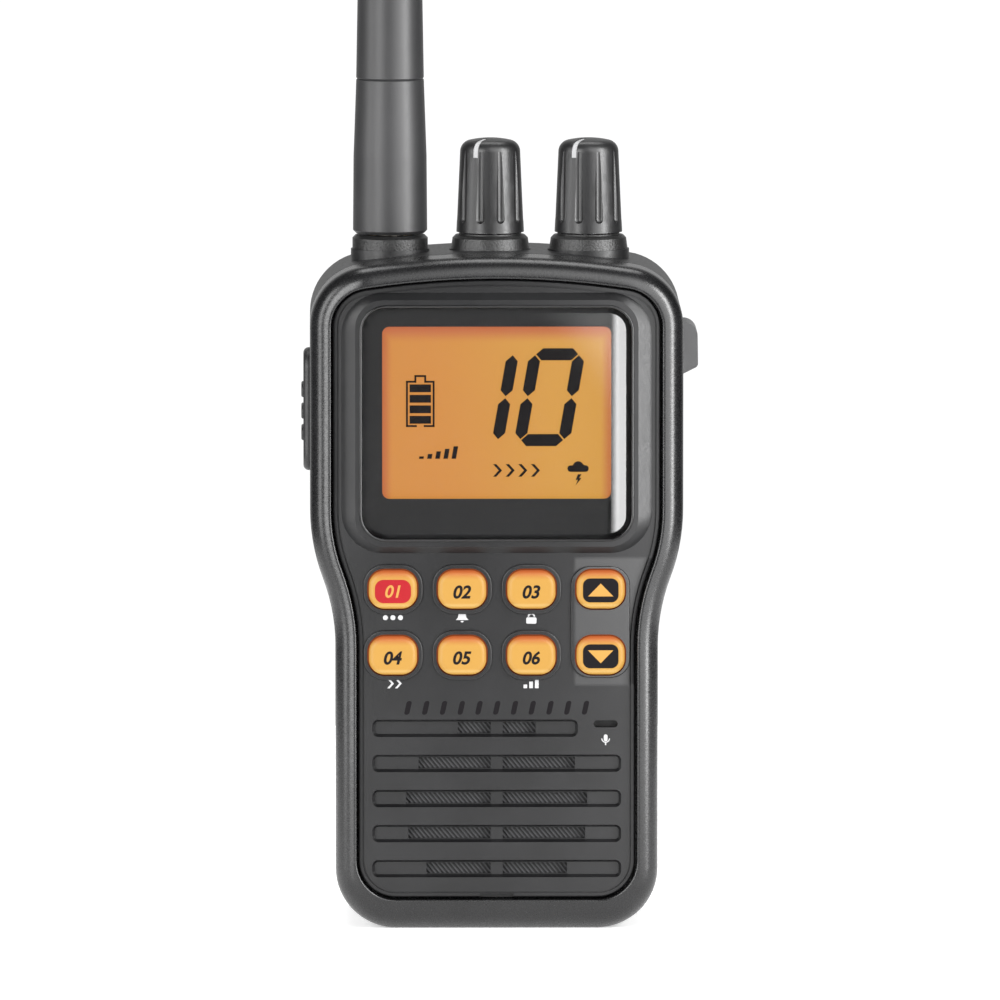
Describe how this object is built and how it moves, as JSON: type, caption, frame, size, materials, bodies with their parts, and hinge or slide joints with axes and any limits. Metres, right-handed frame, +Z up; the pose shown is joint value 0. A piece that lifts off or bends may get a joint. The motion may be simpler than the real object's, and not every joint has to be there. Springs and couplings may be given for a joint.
{
  "type": "vhf marine radio",
  "caption": "Handheld marine radio with a screwed antenna, turning knobs, lit keys and display, speaker grille, push-to-talk bar, battery pack and sprung belt clip.",
  "frame": {"origin": "on the flat foot of the case, in the middle of its width, half of the case's depth behind its front", "axes": "+X to the right as the user looks at the front face; +Y from the front face to the back; +Z up towards the antenna"},
  "size_m": [0.0662, 0.0466, 0.262],
  "materials": {
    "frame_black": "satin moulded, soft highlights",
    "panel_black": "satin moulded",
    "case_black": "fine moulded texture",
    "seal_rubber": "soft",
    "window_clear": "polished",
    "mask_black": "gloss print",
    "lcd_amber": "lit amber",
    "light_guide": "clear",
    "mat_rubber": "soft",
    "grille_cloth": "woven",
    "cone_paper": "matt",
    "magnet_grey": "plain",
    "mic_black": "plain",
    "board_green": "solder mask",
    "steel": "plain",
    "cast_alloy": "cast",
    "brass": "plated",
    "gold_contact": "gold flash",
    "collar_rubber": "mottled",
    "antenna_rubber": "soft satin",
    "ptt_rubber": "soft",
    "cover_grey": "soft",
    "pack_black": "fine moulded texture",
    "cell_wrap": "wrapped cells",
    "clip_black": "satin",
    "knob_black": "soft satin",
    "pointer_white": "painted",
    "key_amber": "translucent, lit from behind"
  },
  "bodies": {
    "radio": {"outer_frame": "frame_black", "front_panel": "panel_black", "rear_case": "case_black", "case_gasket": "seal_rubber", "display_window": "window_clear", "window_mask": "mask_black", "lcd_panel": "lcd_amber", "lcd_backlight": "light_guide", "keypad_mat": "mat_rubber", "speaker_cloth": "grille_cloth", "speaker_basket": "steel", "speaker_cone": "cone_paper", "speaker_magnet": "magnet_grey", "microphone": "mic_black", "control_board": "board_green", "radio_board": "board_green", "shield_can": "steel", "chassis": "cast_alloy", "case_screws": "steel", "board_screws": "steel", "battery_terminals": "gold_contact", "antenna_collar": "collar_rubber", "antenna_socket": "brass", "ptt_switch": "mic_black", "accessory_jack": "mic_black", "battery_case": "pack_black", "battery_back": "pack_black", "battery_cells": "cell_wrap", "battery_contacts": "gold_contact", "battery_screws": "steel", "clip_mount": "clip_black", "clip_pin": "steel", "clip_spring": "steel", "clip_screws": "steel", "lanyard_loop": "case_black", "volume_pot": "mic_black", "squelch_pot": "mic_black", "volume_collar": "collar_rubber", "squelch_collar": "collar_rubber"},
    "volume_control": {"volume_knob": "knob_black", "volume_shaft": "steel", "volume_pointer": "pointer_white"},
    "squelch_control": {"squelch_knob": "knob_black", "squelch_shaft": "steel", "squelch_pointer": "pointer_white"},
    "ptt": {"ptt_pad": "ptt_rubber"},
    "jack_flap": {"jack_cover": "cover_grey"},
    "antenna_ring": {"antenna_seal": "seal_rubber"},
    "antenna": {"antenna_boot": "antenna_rubber", "antenna_whip": "antenna_rubber", "antenna_stud": "brass"},
    "clip_lever": {"belt_clip": "clip_black"},
    "key_priority": {"key_priority": "key_amber"},
    "key_weather": {"key_weather": "key_amber"},
    "key_lock": {"key_lock": "key_amber"},
    "key_up": {"key_up": "key_amber"},
    "key_scan": {"key_scan": "key_amber"},
    "key_memory": {"key_memory": "key_amber"},
    "key_power": {"key_power": "key_amber"},
    "key_down": {"key_down": "key_amber"}
  },
  "joints": [
    {"name": "volume_turn", "type": "hinge", "parent": "radio", "child": "volume_control", "pos_m": [-0.0009, 0.002, 0.12], "axis": [0, 0, 1], "range_deg": [-300, 0]},
    {"name": "squelch_turn", "type": "hinge", "parent": "radio", "child": "squelch_control", "pos_m": [0.0155, 0.002, 0.12], "axis": [0, 0, 1], "range_deg": [-300, 0]},
    {"name": "key_priority_press", "type": "slide", "parent": "radio", "child": "key_priority", "axis": [0, 1, 0], "range_m": [0, 0.0008], "stiffness_N_per_m": 2500},
    {"name": "key_weather_press", "type": "slide", "parent": "radio", "child": "key_weather", "axis": [0, 1, 0], "range_m": [0, 0.0008], "stiffness_N_per_m": 2500},
    {"name": "key_lock_press", "type": "slide", "parent": "radio", "child": "key_lock", "axis": [0, 1, 0], "range_m": [0, 0.0008], "stiffness_N_per_m": 2500},
    {"name": "key_up_press", "type": "slide", "parent": "radio", "child": "key_up", "axis": [0, 1, 0], "range_m": [0, 0.0008], "stiffness_N_per_m": 2500},
    {"name": "key_scan_press", "type": "slide", "parent": "radio", "child": "key_scan", "axis": [0, 1, 0], "range_m": [0, 0.0008], "stiffness_N_per_m": 2500},
    {"name": "key_memory_press", "type": "slide", "parent": "radio", "child": "key_memory", "axis": [0, 1, 0], "range_m": [0, 0.0008], "stiffness_N_per_m": 2500},
    {"name": "key_power_press", "type": "slide", "parent": "radio", "child": "key_power", "axis": [0, 1, 0], "range_m": [0, 0.0008], "stiffness_N_per_m": 2500},
    {"name": "key_down_press", "type": "slide", "parent": "radio", "child": "key_down", "axis": [0, 1, 0], "range_m": [0, 0.0008], "stiffness_N_per_m": 2500},
    {"name": "ptt_press", "type": "slide", "parent": "radio", "child": "ptt", "axis": [1, 0, 0], "range_m": [0, 0.001], "stiffness_N_per_m": 3000},
    {"name": "jack_flap_swing", "type": "hinge", "parent": "radio", "child": "jack_flap", "pos_m": [0.0317, 0.0067, 0.0957], "axis": [0, 0, 1], "range_deg": [0, 110]},
    {"name": "antenna_rise", "type": "slide", "parent": "radio", "child": "antenna_ring", "axis": [0, 0, 1], "range_m": [0, 0.0021]},
    {"name": "antenna_turn", "type": "hinge", "parent": "antenna_ring", "child": "antenna", "pos_m": [-0.0176, 0.002, 0.13], "axis": [0, 0, 1], "range_deg": [0, 1080]},
    {"name": "clip_open", "type": "hinge", "parent": "radio", "child": "clip_lever", "pos_m": [0, 0.0235, 0.073], "axis": [1, 0, 0], "range_deg": [0, 18], "stiffness_Nm_per_rad": 1}
  ],
  "couplings": [
    {"joint": "antenna_turn", "follows": "antenna_rise", "rad_per_m": 8976}
  ]
}
